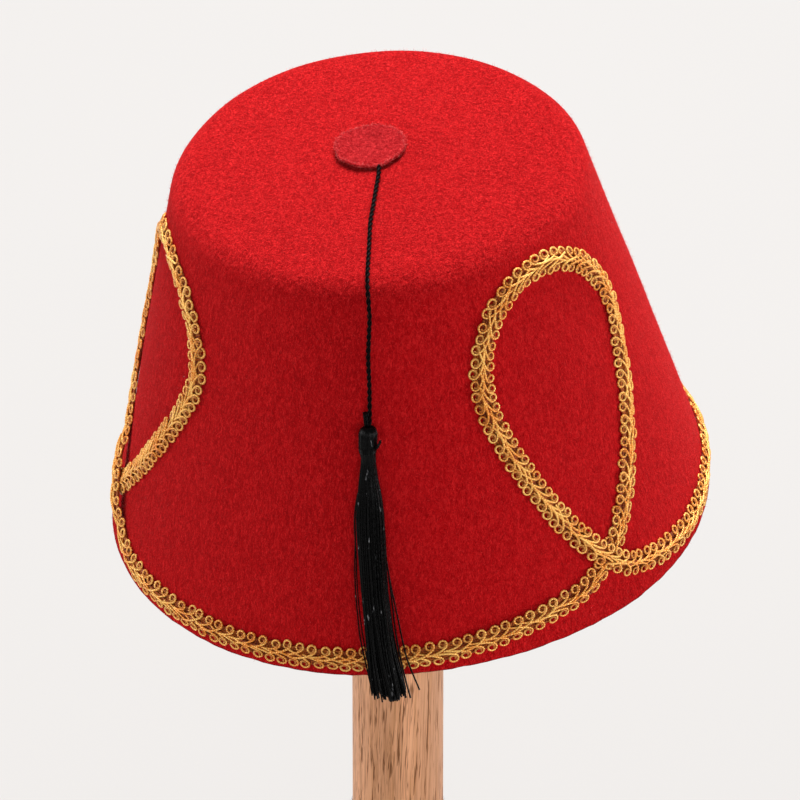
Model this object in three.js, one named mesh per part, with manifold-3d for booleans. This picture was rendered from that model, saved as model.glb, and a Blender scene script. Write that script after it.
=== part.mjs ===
// A red felt fez with a gold braid and a black tassel, on a wooden hat stand.
// Millimetres, +Z up, front towards -Y, origin at the middle of the stand's underside.
import * as THREE from "three";
import { mergeVertices } from "three/addons/utils/BufferGeometryUtils.js";
import Module from "manifold-3d";

const wasm = await Module();
wasm.setup();

// Clearance between neighbours that touch on the real object
const GAP = 0.3;

// Crown: its own frame has the hem at Z = 0, its axis on Z and azimuth 0 towards -Y
const HEM_RADIUS = 95;
const CROWN_HEIGHT = 131.8;
const WALL_LEAN = radians(13.34);
const EDGE_ROUNDING = 10;
const TOP_DOME_RADIUS = 500;
const FELT = 2;
const CROWN_SIDES = 64;
const CROWN_WALL_RINGS = 5;
const CROWN_EDGE_RINGS = 5;
const CROWN_TOP_RINGS = 3;

// Hem: how far the soft edge strays from a flat circle, fading out up the wall
const HEM_DROP = { size: 0.45, waves: 4, azimuth: radians(-28) };
const HEM_SWELL = { size: 0.35, waves: 3, azimuth: radians(-55) };
const HEM_FADE = 60;

// The left side is pressed in a little, between these heights and out to this radius on the top
const SIDE_PRESS = { size: 1.45, azimuth: radians(-90), low: 5, high: 40, radius: 62 };

// Where the hat sits on its stand, leaning to one side
const HAT_TILT = radians(4.93);
const HEM_CENTRE = { x: 4, z: 196 };

// Button: a hand-cut disc of felt on the middle of the top, its rim lifted
const BUTTON = { x: -1.3, y: 2.8, halfWidth: 11.1, halfDepth: 10.2, thickness: 1.4, rimLift: 0.5 };
const BUTTON_WAVER = 0.25;
const BUTTON_SIDES = 28;

// Cord: route over the crown, by its place to the side and its distance from the middle of the top
const CORD_RADIUS = 0.75;
const CORD_STEPS = 40;
const CORD_SIDES = 8;
const CORD_LIFT = GAP + CORD_RADIUS;
const CORD_ROUTE = [
  { side: 1.7, run: 8.3, lift: CORD_LIFT },
  { side: 1.5, run: 12.4, lift: CORD_LIFT },
  { side: 0.75, run: 19, lift: CORD_LIFT },
  { side: -0.1, run: 27, lift: CORD_LIFT },
  { side: -0.95, run: 34, lift: CORD_LIFT },
  { side: -1.35, run: 41, lift: CORD_LIFT },
  { side: -1.6, run: 48, lift: CORD_LIFT },
  { side: -1.9, run: 54, lift: CORD_LIFT },
  { side: -2.2, run: 60, lift: CORD_LIFT },
  { side: -2.35, run: 64, lift: CORD_LIFT },
  { side: -2.35, run: 68, lift: CORD_LIFT },
  { side: -2.5, run: 73, lift: CORD_LIFT },
  { side: -3.25, run: 79.5, lift: CORD_LIFT },
  { side: -4.0, run: 86, lift: CORD_LIFT },
  { side: -4.3, run: 93, lift: 1.1 },
  { side: -4.65, run: 99, lift: 1.4 },
  { side: -4.95, run: 104, lift: 2.4 },
  { side: -5.2, run: 107.6, lift: 3.2 },
];

// Tassel: rows down its length, with its axis on the wall and its half sizes
const TASSEL_TOP_RUN = 107.9;
const TASSEL_ROWS = [
  { down: 0, side: -5.5, lift: 3.3, halfWidth: 1.4, halfDepth: 1.4 },
  { down: 0.8, side: -5.7, lift: 3.3, halfWidth: 2.2, halfDepth: 2.2 },
  { down: 2.5, side: -5.9, lift: 3.3, halfWidth: 2.7, halfDepth: 2.7 },
  { down: 6.5, side: -6.25, lift: 3.3, halfWidth: 2.65, halfDepth: 2.7 },
  { down: 8.2, side: -6.45, lift: 3.3, halfWidth: 2.3, halfDepth: 2.4 },
  { down: 11, side: -6.5, lift: 3.2, halfWidth: 2.05, halfDepth: 2.05 },
  { down: 17.7, side: -6.95, lift: 3.4, halfWidth: 2.9, halfDepth: 2.4 },
  { down: 24.3, side: -7.1, lift: 3.7, halfWidth: 3.9, halfDepth: 2.8 },
  { down: 31, side: -7.5, lift: 4, halfWidth: 4.5, halfDepth: 3.1 },
  { down: 42, side: -7.9, lift: 4.4, halfWidth: 4.4, halfDepth: 3.3 },
  { down: 56, side: -8.1, lift: 5, halfWidth: 4.3, halfDepth: 3.5 },
  { down: 69.5, side: -7.75, lift: 5.7, halfWidth: 4.4, halfDepth: 3.7 },
  { down: 76.3, side: -7.45, lift: 6.1, halfWidth: 4.7, halfDepth: 3.8 },
  { down: 83, side: -6.9, lift: 6.4, halfWidth: 5.2, halfDepth: 3.8 },
  { down: 91, side: -6.2, lift: 6.6, halfWidth: 5.5, halfDepth: 3.8 },
];
const TASSEL_HEAD_END = 25;
const TASSEL_HEAD_SIDES = 12;
// Locks of the skirt: rings of them round a middle lock, each ring at its share of the half sizes
const LOCK_START = 11;
const LOCK_STEPS = 6;
const LOCK_SIDES = 6;
const LOCK_RADIUS = { start: 0.9, middle: 1.35, tip: 0.4 };
const LOCK_RINGS = [
  { count: 1, reach: 0, turn: 0, end: 89 },
  { count: 4, reach: 0.42, turn: radians(20), end: 91 },
  { count: 8, reach: 0.76, turn: radians(8), end: 88.5 },
];
const LOCK_UNEVEN = 2;

// Braid: a strip on the wall, laid as one length round the hem and up three loops
const BRAID_HALF_WIDTH = 4.1;
const BRAID_THICKNESS = 1.4;
const BRAID_SHOULDER = { share: 0.8, thickness: 1.1 };
const BRAID_BED = 0.35;
const BRAID_STEP = 6;
const CROSSING_HALF_LENGTH = 6.5;
const CROSSING_RAMP = 9;
// Each loop in degrees of azimuth and millimetres above the hem: where it crosses itself, how its two
// strands leave that place, its widest points with the length of their straight run, and its top
const LOOPS = [
  {
    cross: [43.9, 19], right: [69, 89.4], top: [45.1, 117.9], left: [23.6, 85.6],
    leave: [7.7, 5.3], arrive: [-5.2, 5.8], rightRun: 17.8, leftRun: 13.3, rightArch: 0.51, leftArch: 0.59,
  },
  {
    cross: [160.9, 19.5], right: [186.6, 88], top: [163.5, 118], left: [140.6, 86],
    leave: [7.2, 5.6], arrive: [-6, 7], rightRun: 17, leftRun: 15, rightArch: 0.53, leftArch: 0.58,
  },
  {
    cross: [277.6, 20.4], right: [307.3, 81.5], top: [280.2, 113.2], left: [259.6, 85],
    leave: [5.5, 5.5], arrive: [-14.4, 28.1], rightRun: 7, leftRun: 26.5, rightArch: 0.6, leftArch: 0.58,
  },
];
// Runs along the hem, from each loop's crossing down, level, and up to the next one's
const HEM_RUNS = [
  { fall: 28.3, fallBend: [3.5, -9.5], low: 6.1, rise: 52 },
  { fall: 28, fallBend: [3.5, -9], low: 5.9, rise: 52 },
  { fall: 16, fallBend: [3.2, -9], low: 5.7, rise: 51.9 },
];
// Each run turns up at its knee, just before the crossing that it passes under
const KNEE = { from: [-8.6, -6.8], before: [-12, -2.6], after: [3, 0.7], meet: [-3, -3.3] };

// Stand: a foot, a post in a metal sleeve and a turned knob that carries the crown
const BASE = { radius: 65, height: 14, rounding: 3 };
const POST_RADIUS = 14.6;
const COLLAR = { top: 68.6, wall: 0.7 };
const KNOB = { radius: 34, domeRadius: 45, height: 20, rounding: 2.5 };
const TURNED_SIDES = 32;
const BASE_SIDES = 48;

// Finishes, as colour, roughness and metalness
const RED_FELT = finish(0xc01a20, 0.95, 0);
const PRESSED_FELT = finish(0xc92f35, 0.9, 0);
const BLACK_THREAD = finish(0x141112, 0.45, 0);
const GOLD_THREAD = finish(0xc9962f, 0.4, 0.6);
const OAK = finish(0xb98a6b, 0.6, 0);
const GREY_METAL = finish(0x8d8f91, 0.35, 0.9);

function radians(degrees) {
  return (degrees * Math.PI) / 180;
}

function finish(color, roughness, metalness) {
  return new THREE.MeshStandardMaterial({ color, roughness, metalness });
}

function mesh(name, geometry, material) {
  const made = new THREE.Mesh(geometry, material);
  made.name = name;
  return made;
}

// Outline of the crown: a dome, a rounded edge and a straight wall, each tangent to the next
function crownOutline() {
  let radius = HEM_RADIUS;
  let height = 0;
  for (let i = 0; i < 30; i++) {
    const reach = TOP_DOME_RADIUS - EDGE_ROUNDING;
    height = CROWN_HEIGHT - TOP_DOME_RADIUS + Math.sqrt(reach ** 2 - radius ** 2);
    radius = HEM_RADIUS - height * Math.tan(WALL_LEAN) - EDGE_ROUNDING / Math.cos(WALL_LEAN);
  }
  const domeAngle = Math.asin(radius / (TOP_DOME_RADIUS - EDGE_ROUNDING));
  const edgeAngle = Math.PI / 2 - WALL_LEAN - domeAngle;
  const topLength = TOP_DOME_RADIUS * domeAngle;
  const edgeLength = EDGE_ROUNDING * edgeAngle;
  const wallTop = height + EDGE_ROUNDING * Math.sin(WALL_LEAN);
  const wallStart = topLength + edgeLength;
  return {
    edge: { radius, height },
    topLength,
    edgeLength,
    wallTop,
    wallStart,
    wallLength: wallTop / Math.cos(WALL_LEAN),
  };
}

const OUTLINE = crownOutline();

// Radius, height and outward tilt of the crown's outside, at a distance from the middle of its top
function crownProfile(run) {
  const { edge, topLength, wallStart, wallTop } = OUTLINE;
  if (run <= topLength) {
    const tilt = run / TOP_DOME_RADIUS;
    const centre = CROWN_HEIGHT - TOP_DOME_RADIUS;
    return {
      radius: TOP_DOME_RADIUS * Math.sin(tilt),
      height: centre + TOP_DOME_RADIUS * Math.cos(tilt),
      tilt,
    };
  }
  if (run <= wallStart) {
    const tilt = topLength / TOP_DOME_RADIUS + (run - topLength) / EDGE_ROUNDING;
    return {
      radius: edge.radius + EDGE_ROUNDING * Math.sin(tilt),
      height: edge.height + EDGE_ROUNDING * Math.cos(tilt),
      tilt,
    };
  }
  const down = run - wallStart;
  return {
    radius: edge.radius + EDGE_ROUNDING * Math.cos(WALL_LEAN) + down * Math.sin(WALL_LEAN),
    height: wallTop - down * Math.cos(WALL_LEAN),
    tilt: Math.PI / 2 - WALL_LEAN,
  };
}

// The distance from the middle of the top at which the wall has a given height above the hem
function runAtHeight(height) {
  return OUTLINE.wallStart + (OUTLINE.wallTop - height) / Math.cos(WALL_LEAN);
}

// How far the hem strays outwards and down at an azimuth and a height
function hemStray(azimuth, height) {
  const fade = Math.max(0, 1 - Math.max(0, height) / HEM_FADE) ** 2;
  return {
    out: fade * HEM_SWELL.size * Math.cos(HEM_SWELL.waves * (azimuth - HEM_SWELL.azimuth)),
    drop: fade * HEM_DROP.size * Math.cos(HEM_DROP.waves * (azimuth - HEM_DROP.azimuth)),
  };
}

// How far the left side is pressed in at a point of the crown
function sidePress(azimuth, { radius, height }) {
  const rise = THREE.MathUtils.smoothstep(height, SIDE_PRESS.low, SIDE_PRESS.high);
  const facing = Math.max(0, Math.cos(azimuth - SIDE_PRESS.azimuth)) ** 2;
  return SIDE_PRESS.size * rise * facing * Math.min(1, radius / SIDE_PRESS.radius) ** 2;
}

// A point over the crown, lifted square off its outside
function crownPoint(azimuth, run, lift) {
  const at = crownProfile(run);
  const stray = hemStray(azimuth, at.height);
  const radius = at.radius + lift * Math.sin(at.tilt) + stray.out - sidePress(azimuth, at);
  return new THREE.Vector3(
    radius * Math.sin(azimuth),
    -radius * Math.cos(azimuth),
    at.height + lift * Math.cos(at.tilt) - stray.drop,
  );
}

// The same, placed by its distance to the side of the front line
function frontPoint({ side, run, lift }) {
  return crownPoint(Math.atan2(side, crownProfile(run).radius), run, lift);
}

function lathe(points, sides) {
  const outline = points.map(([radius, height]) => new THREE.Vector2(radius, height));
  return new THREE.LatheGeometry(outline, sides).rotateX(Math.PI / 2);
}

// Runs at which the crown's outline gets a ring of vertices
function crownRuns() {
  const { topLength, edgeLength, wallStart, wallLength } = OUTLINE;
  const runs = [];
  for (let i = 1; i < CROWN_TOP_RINGS; i++) runs.push((topLength * i) / CROWN_TOP_RINGS);
  for (let i = 0; i < CROWN_EDGE_RINGS; i++) runs.push(topLength + (edgeLength * i) / CROWN_EDGE_RINGS);
  for (let i = 0; i <= CROWN_WALL_RINGS; i++) runs.push(wallStart + (wallLength * i) / CROWN_WALL_RINGS);
  return runs;
}

function crown() {
  const runs = crownRuns();
  const offset = (run, lift) => {
    const at = crownProfile(run);
    return [at.radius + lift * Math.sin(at.tilt), Math.max(0, at.height + lift * Math.cos(at.tilt))];
  };
  const outside = runs.map((run) => offset(run, 0));
  const inside = runs.map((run) => offset(run, -FELT)).reverse();
  const outline = [[0, CROWN_HEIGHT], ...outside, ...inside, [0, CROWN_HEIGHT - FELT]];
  const geometry = lathe(outline.reverse(), CROWN_SIDES);
  const position = geometry.getAttribute("position");
  for (let i = 0; i < position.count; i++) {
    const x = position.getX(i);
    const y = position.getY(i);
    const radius = Math.hypot(x, y);
    const azimuth = Math.atan2(x, -y);
    const stray = hemStray(azimuth, position.getZ(i));
    const press = sidePress(azimuth, { radius, height: position.getZ(i) });
    const grown = radius > 1 ? (radius + stray.out - press) / radius : 1;
    position.setXYZ(i, x * grown, y * grown, position.getZ(i) - stray.drop);
  }
  return mesh("crown", geometry, RED_FELT);
}

// A closed skin over rings of points, each ring in the same order, with flat ends
function skin(rings, closedLoop) {
  const sides = rings[0].length;
  const index = [];
  const spans = closedLoop ? rings.length : rings.length - 1;
  for (let i = 0; i < spans; i++) {
    const near = i * sides;
    const far = ((i + 1) % rings.length) * sides;
    for (let j = 0; j < sides; j++) {
      const k = (j + 1) % sides;
      index.push(near + j, near + k, far + j, near + k, far + k, far + j);
    }
  }
  if (!closedLoop) {
    const last = (rings.length - 1) * sides;
    for (let j = 1; j < sides - 1; j++) {
      index.push(0, j + 1, j);
      index.push(last, last + j, last + j + 1);
    }
  }
  const positions = rings.flat().flatMap((point) => point.toArray());
  const geometry = new THREE.BufferGeometry();
  geometry.setAttribute("position", new THREE.Float32BufferAttribute(positions, 3));
  geometry.setIndex(index);
  return geometry;
}

function button() {
  const top = [];
  const bottom = [];
  for (let i = 0; i < BUTTON_SIDES; i++) {
    const turn = (2 * Math.PI * i) / BUTTON_SIDES;
    const waver = BUTTON_WAVER * Math.sin(3 * turn + 1) + BUTTON_WAVER * Math.sin(5 * turn);
    const x = BUTTON.x + (BUTTON.halfWidth + waver) * Math.cos(turn);
    const y = BUTTON.y + (BUTTON.halfDepth + waver) * Math.sin(turn);
    const seat = crownProfile(Math.hypot(x, y)).height + GAP + BUTTON.rimLift;
    bottom.push(new THREE.Vector3(x, y, seat));
    top.push(new THREE.Vector3(x, y, seat + BUTTON.thickness));
  }
  const shrink = (ring, share, z) =>
    ring.map((p) => new THREE.Vector3(
      BUTTON.x + (p.x - BUTTON.x) * share,
      BUTTON.y + (p.y - BUTTON.y) * share,
      z,
    ));
  const seat = CROWN_HEIGHT + GAP;
  const rings = [
    shrink(bottom, 0.55, seat),
    bottom,
    top,
    shrink(top, 0.55, seat + BUTTON.thickness),
  ];
  return mesh("crown_button", skin(rings, false), PRESSED_FELT);
}

function cord() {
  const path = new THREE.CatmullRomCurve3(CORD_ROUTE.map(frontPoint));
  const section = new THREE.Shape();
  for (let i = 0; i < CORD_SIDES; i++) {
    const turn = (2 * Math.PI * i) / CORD_SIDES;
    const x = CORD_RADIUS * Math.cos(turn);
    const y = CORD_RADIUS * Math.sin(turn);
    if (i === 0) section.moveTo(x, y);
    else section.lineTo(x, y);
  }
  section.closePath();
  const geometry = new THREE.ExtrudeGeometry(section, { steps: CORD_STEPS, extrudePath: path });
  return mesh("tassel_cord", geometry, BLACK_THREAD);
}

// The tassel's row at a distance down it, with straight changes between the rows of the table
function tasselRow(down) {
  const last = TASSEL_ROWS.length - 1;
  let i = 1;
  while (i < last && TASSEL_ROWS[i].down < down) i++;
  const near = TASSEL_ROWS[i - 1];
  const far = TASSEL_ROWS[i];
  const share = (down - near.down) / (far.down - near.down);
  const mix = (key) => THREE.MathUtils.lerp(near[key], far[key], share);
  return { side: mix("side"), lift: mix("lift"), halfWidth: mix("halfWidth"), halfDepth: mix("halfDepth") };
}

// A point in the tassel: across it and outwards, as shares of its half sizes at that distance down
function tasselPoint(down, across, outwards) {
  const row = tasselRow(down);
  return frontPoint({
    side: row.side + across * row.halfWidth,
    run: TASSEL_TOP_RUN + down,
    lift: row.lift + outwards * row.halfDepth,
  });
}

function tasselHead() {
  const downs = TASSEL_ROWS.map((row) => row.down).filter((down) => down < TASSEL_HEAD_END);
  const rings = downs.map((down) =>
    Array.from({ length: TASSEL_HEAD_SIDES }, (_, j) => {
      const turn = (2 * Math.PI * j) / TASSEL_HEAD_SIDES;
      const narrowing = down > LOCK_START ? 0.8 : 1;
      return tasselPoint(down, narrowing * Math.cos(turn), narrowing * Math.sin(turn));
    }),
  );
  return skin(rings, false);
}

// One lock of the skirt, from inside the neck to its tapered tip
function lock(angle, reach, end) {
  const rings = [];
  for (let i = 0; i <= LOCK_STEPS; i++) {
    const share = i / LOCK_STEPS;
    const down = THREE.MathUtils.lerp(LOCK_START, end, share);
    const row = tasselRow(down);
    const swell = Math.sin(Math.PI * Math.min(1, share * 1.1)) ** 0.7;
    const ends = share < 0.5 ? LOCK_RADIUS.start : LOCK_RADIUS.tip;
    const radius = THREE.MathUtils.lerp(ends, LOCK_RADIUS.middle, swell);
    const spread = reach * (0.55 + 0.45 * share);
    const ring = [];
    for (let j = 0; j < LOCK_SIDES; j++) {
      const turn = (2 * Math.PI * j) / LOCK_SIDES;
      const across = spread * Math.cos(angle) + (radius * Math.cos(turn)) / row.halfWidth;
      const outwards = spread * Math.sin(angle) + (radius * Math.sin(turn)) / row.halfDepth;
      ring.push(tasselPoint(down, across, outwards));
    }
    rings.push(ring);
  }
  return skin(rings, false);
}

function toSolid(geometry) {
  const merged = mergeVertices(geometry);
  return new wasm.Manifold(
    new wasm.Mesh({
      numProp: 3,
      vertProperties: new Float32Array(merged.getAttribute("position").array),
      triVerts: new Uint32Array(merged.index.array),
    }),
  );
}

function toGeometry(solid) {
  const made = solid.getMesh();
  const geometry = new THREE.BufferGeometry();
  geometry.setAttribute("position", new THREE.BufferAttribute(made.vertProperties, 3));
  geometry.setIndex(new THREE.BufferAttribute(made.triVerts, 1));
  return geometry;
}

function tassel() {
  let solid = toSolid(tasselHead());
  LOCK_RINGS.forEach(({ count, reach, turn, end }) => {
    for (let i = 0; i < count; i++) {
      const angle = turn + (2 * Math.PI * i) / count;
      const uneven = LOCK_UNEVEN * Math.sin(7 * angle + 2 * count);
      solid = solid.add(toSolid(lock(angle, reach, end + uneven)));
    }
  });
  return mesh("tassel", toGeometry(solid), BLACK_THREAD);
}

// Bezier pieces of the braid's line, in azimuth and height, with the lift marked at each crossing
function braidPieces() {
  const at = (azimuth, height) => new THREE.Vector2(azimuth, height);
  const add = (point, step) => at(point.x + step[0], point.y + step[1]);
  return LOOPS.flatMap((loop, i) => {
    const cross = at(...loop.cross);
    const right = at(...loop.right);
    const top = at(...loop.top);
    const left = at(...loop.left);
    const next = LOOPS[(i + 1) % LOOPS.length];
    const fullTurn = i + 1 < LOOPS.length ? 0 : 360;
    const nextCross = at(next.cross[0] + fullTurn, next.cross[1]);
    const run = HEM_RUNS[i];
    const low = at(cross.x + run.fall, run.low);
    const riseStart = at(nextCross.x - run.rise, run.low);
    const knee = add(nextCross, KNEE.from);
    const rightRise = loop.rightArch * (top.y - right.y);
    const leftRise = loop.leftArch * (top.y - left.y);
    const rightSpan = loop.rightArch * (right.x - top.x);
    const leftSpan = loop.leftArch * (top.x - left.x);
    const curves = [
      [cross, add(cross, loop.leave), add(right, [0, -loop.rightRun]), right],
      [right, add(right, [0, rightRise]), add(top, [rightSpan, 0]), top],
      [top, add(top, [-leftSpan, 0]), add(left, [0, leftRise]), left],
      [left, add(left, [0, -loop.leftRun]), add(cross, loop.arrive), cross],
      [cross, add(cross, run.fallBend), add(low, [-0.42 * run.fall, 0]), low],
      [riseStart, add(riseStart, [0.35 * run.rise, 0]), add(knee, KNEE.before), knee],
      [knee, add(knee, KNEE.after), add(nextCross, KNEE.meet), nextCross],
    ].map((points) => new THREE.CubicBezierCurve(...points));
    curves.splice(5, 0, new THREE.LineCurve(low, riseStart));
    return curves.map((curve, order) => ({ curve, over: order === 3 || order === 4 }));
  });
}

// Sections along the braid's whole line, with the place, direction and lift of each
function braidSections() {
  const onWall = ({ x, y }) => crownPoint(radians(x), runAtHeight(y), 0);
  const sections = [];
  braidPieces().forEach(({ curve, over }, order, all) => {
    const samples = curve.getPoints(40).map(onWall);
    const length = samples.reduce((sum, p, i) => (i ? sum + p.distanceTo(samples[i - 1]) : 0), 0);
    const steps = Math.max(2, Math.round(length / BRAID_STEP));
    const crossing = over && all[order + 1].over ? 1 : 0;
    for (let i = 0; i < steps; i++) {
      const share = i / steps;
      const point = curve.getPoint(share);
      const ahead = curve.getPoint(Math.min(1, share + 0.01));
      const behind = curve.getPoint(Math.max(0, share - 0.01));
      const distance = length * (over ? Math.abs(crossing - share) : 1);
      const ramp = (distance - CROSSING_HALF_LENGTH) / CROSSING_RAMP;
      const raised = over ? 1 - THREE.MathUtils.smoothstep(ramp, 0, 1) : 0;
      sections.push({ point, ahead, behind, raised });
    }
  });
  return sections;
}

// A point across the braid from its middle line, on the developed wall
function besideBraid({ point, ahead, behind }, across, lift) {
  const run = runAtHeight(point.y);
  const radius = crownProfile(run).radius;
  const along = new THREE.Vector2(
    radians(ahead.x - behind.x) * radius,
    (ahead.y - behind.y) / Math.cos(WALL_LEAN),
  ).normalize();
  return crownPoint(radians(point.x) + (along.y * across) / radius, run + along.x * across, lift);
}

function braid() {
  const { share, thickness } = BRAID_SHOULDER;
  const section = [
    [1, 0],
    [0, 0],
    [-1, 0],
    [-share, thickness],
    [0, BRAID_THICKNESS],
    [share, thickness],
  ];
  const overLift = BRAID_THICKNESS + GAP;
  const rings = braidSections().map((place) =>
    section.map(([across, up]) =>
      besideBraid(place, across * BRAID_HALF_WIDTH, BRAID_BED + up + place.raised * overLift),
    ),
  );
  return mesh("gold_braid", skin(rings, true), GOLD_THREAD);
}

// The knob's dome sits just under the crown's inner top, which leans and is itself part of a sphere
function knobTop() {
  const innerRadius = TOP_DOME_RADIUS - FELT;
  const below = TOP_DOME_RADIUS - CROWN_HEIGHT;
  const centreX = HEM_CENTRE.x + below * Math.sin(HAT_TILT);
  const centreZ = HEM_CENTRE.z - below * Math.cos(HAT_TILT);
  const reach = innerRadius - KNOB.domeRadius - GAP;
  return centreZ + Math.sqrt(reach ** 2 - centreX ** 2) + KNOB.domeRadius;
}

const KNOB_TOP = knobTop();
const POST_TOP = KNOB_TOP - KNOB.height - GAP;

function knob() {
  const rim = Math.asin(KNOB.radius / KNOB.domeRadius);
  const outline = [];
  for (let i = 0; i <= 6; i++) {
    const tilt = (rim * i) / 6;
    const height = KNOB_TOP - KNOB.domeRadius + KNOB.domeRadius * Math.cos(tilt);
    outline.push([KNOB.domeRadius * Math.sin(tilt), height]);
  }
  const foot = KNOB_TOP - KNOB.height;
  outline.push([KNOB.radius, foot + KNOB.rounding]);
  outline.push([KNOB.radius - KNOB.rounding, foot]);
  outline.push([0, foot]);
  return mesh("stand_cap", lathe(outline.reverse(), TURNED_SIDES), OAK);
}

function post() {
  const outline = [
    [0, BASE.height + GAP],
    [POST_RADIUS, BASE.height + GAP],
    [POST_RADIUS, POST_TOP],
    [0, POST_TOP],
  ];
  return mesh("stand_post", lathe(outline, TURNED_SIDES), OAK);
}

function collar() {
  const inner = POST_RADIUS + GAP;
  const outer = inner + COLLAR.wall;
  const foot = BASE.height + GAP;
  const outline = [
    [inner, foot],
    [outer, foot],
    [outer, COLLAR.top],
    [inner, COLLAR.top],
    [inner, foot],
  ];
  return mesh("post_collar", lathe(outline, TURNED_SIDES), GREY_METAL);
}

function base() {
  const outline = [
    [0, 0],
    [BASE.radius, 0],
    [BASE.radius, BASE.height - BASE.rounding],
    [BASE.radius - BASE.rounding * 0.3, BASE.height - BASE.rounding * 0.3],
    [BASE.radius - BASE.rounding, BASE.height],
    [0, BASE.height],
  ];
  return mesh("stand_base", lathe(outline, BASE_SIDES), OAK);
}

function hat() {
  const group = new THREE.Group();
  group.position.set(HEM_CENTRE.x, 0, HEM_CENTRE.z);
  group.rotation.y = -HAT_TILT;
  group.add(crown(), button(), cord(), tassel(), braid());
  return group;
}

const fezOnStand = new THREE.Group();
fezOnStand.add(hat(), knob(), post(), collar(), base());

export default fezOnStand;
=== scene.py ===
"""A red felt fez with a gold braid and a black tassel, on an oak hat stand."""

import math

import bpy
import numpy as np
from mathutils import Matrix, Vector


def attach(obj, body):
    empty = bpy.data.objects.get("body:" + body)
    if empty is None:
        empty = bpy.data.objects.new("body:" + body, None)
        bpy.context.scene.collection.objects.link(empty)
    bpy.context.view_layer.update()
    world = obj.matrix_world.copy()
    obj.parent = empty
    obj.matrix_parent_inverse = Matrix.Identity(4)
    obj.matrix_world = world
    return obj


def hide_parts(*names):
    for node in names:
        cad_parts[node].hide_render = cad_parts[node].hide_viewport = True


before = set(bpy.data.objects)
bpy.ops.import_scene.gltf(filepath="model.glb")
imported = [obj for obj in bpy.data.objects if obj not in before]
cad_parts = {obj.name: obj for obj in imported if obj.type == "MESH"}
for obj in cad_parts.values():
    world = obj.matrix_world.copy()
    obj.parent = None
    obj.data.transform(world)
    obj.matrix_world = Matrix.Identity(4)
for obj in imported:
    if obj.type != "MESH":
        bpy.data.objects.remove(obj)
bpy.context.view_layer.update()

# Camera
# The view is from the front and well above, through a long lens, so that the crown's top shows whole
# over its wall.

MM = 0.001
TILT = math.radians(4.93)
HEM_CENTRE = dict(x=4, z=196)
HALF_WAY_UP = 57
CAMERA_HEIGHT = math.radians(36.70)
CAMERA_DISTANCE = 3.8
CAMERA_SHIFT = dict(right=1.58, down=16.73)
LENS = 544.2


def in_scene(name, data):
    """A new object in the scene, from its mesh, camera or lamp"""
    made = bpy.data.objects.new(name, data)
    bpy.context.scene.collection.objects.link(made)
    return made


look = Vector((0, math.cos(CAMERA_HEIGHT), -math.sin(CAMERA_HEIGHT)))
upwards = Vector((0, math.sin(CAMERA_HEIGHT), math.cos(CAMERA_HEIGHT)))
middle_of_hat = MM * Vector((
    HEM_CENTRE["x"] - HALF_WAY_UP * math.sin(TILT), 0, HEM_CENTRE["z"] + HALF_WAY_UP * math.cos(TILT)
))
camera = in_scene("camera", bpy.data.cameras.new("camera"))
camera.data.lens = LENS
camera.data.sensor_width = 36
camera.data.clip_end = 60
shift = MM * (CAMERA_SHIFT["right"] * Vector((1, 0, 0)) - CAMERA_SHIFT["down"] * upwards)
camera.location = middle_of_hat - CAMERA_DISTANCE * look + shift
camera.rotation_euler = (math.pi / 2 - CAMERA_HEIGHT, 0, 0)
bpy.context.scene.camera = camera

# Crown
# One cone of red wool felt, blocked to a flat top with a soft rounded edge. Its hem is cut raw, and it
# hangs on the stand a little to one side.

HEM_RADIUS = 95
CROWN_HEIGHT = 131.8
WALL_LEAN = math.radians(13.34)
EDGE_ROUNDING = 10
TOP_DOME_RADIUS = 500
FELT = 2
HEM_SWELL = dict(size=0.35, waves=3, azimuth=math.radians(-55))
HEM_DROP = dict(size=0.45, waves=4, azimuth=math.radians(-28))
HEM_FADE = 60
SIDE_PRESS = dict(size=1.45, low=5, high=40, radius=62)
CROWN_SIDES = 320
FELT_DARK = (0.24, 0.0009, 0.0023, 1)
FELT_RED = (0.465, 0.0038, 0.006, 1)
FELT_LIGHT = (0.70, 0.017, 0.019, 1)
# Painted shade: a dark red laid on the hem's raw cut edge, where the felt rolls under into shadow
FELT_CUT_SHADE = (0.10, 0.002, 0.009, 1)


def crown_outline():
    """The rounded edge's middle, and the lengths of the outline's parts, so that each meets the next"""
    radius = HEM_RADIUS
    for _ in range(30):
        reach = TOP_DOME_RADIUS - EDGE_ROUNDING
        height = CROWN_HEIGHT - TOP_DOME_RADIUS + math.sqrt(reach**2 - radius**2)
        radius = HEM_RADIUS - height * math.tan(WALL_LEAN) - EDGE_ROUNDING / math.cos(WALL_LEAN)
    dome = math.asin(radius / (TOP_DOME_RADIUS - EDGE_ROUNDING))
    top_length = TOP_DOME_RADIUS * dome
    wall_start = top_length + EDGE_ROUNDING * (math.pi / 2 - WALL_LEAN - dome)
    return radius, height, top_length, height + EDGE_ROUNDING * math.sin(WALL_LEAN), wall_start


EDGE_RADIUS, EDGE_HEIGHT, TOP_LENGTH, WALL_TOP, WALL_START = crown_outline()
HEM_RUN = WALL_START + WALL_TOP / math.cos(WALL_LEAN)


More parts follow.
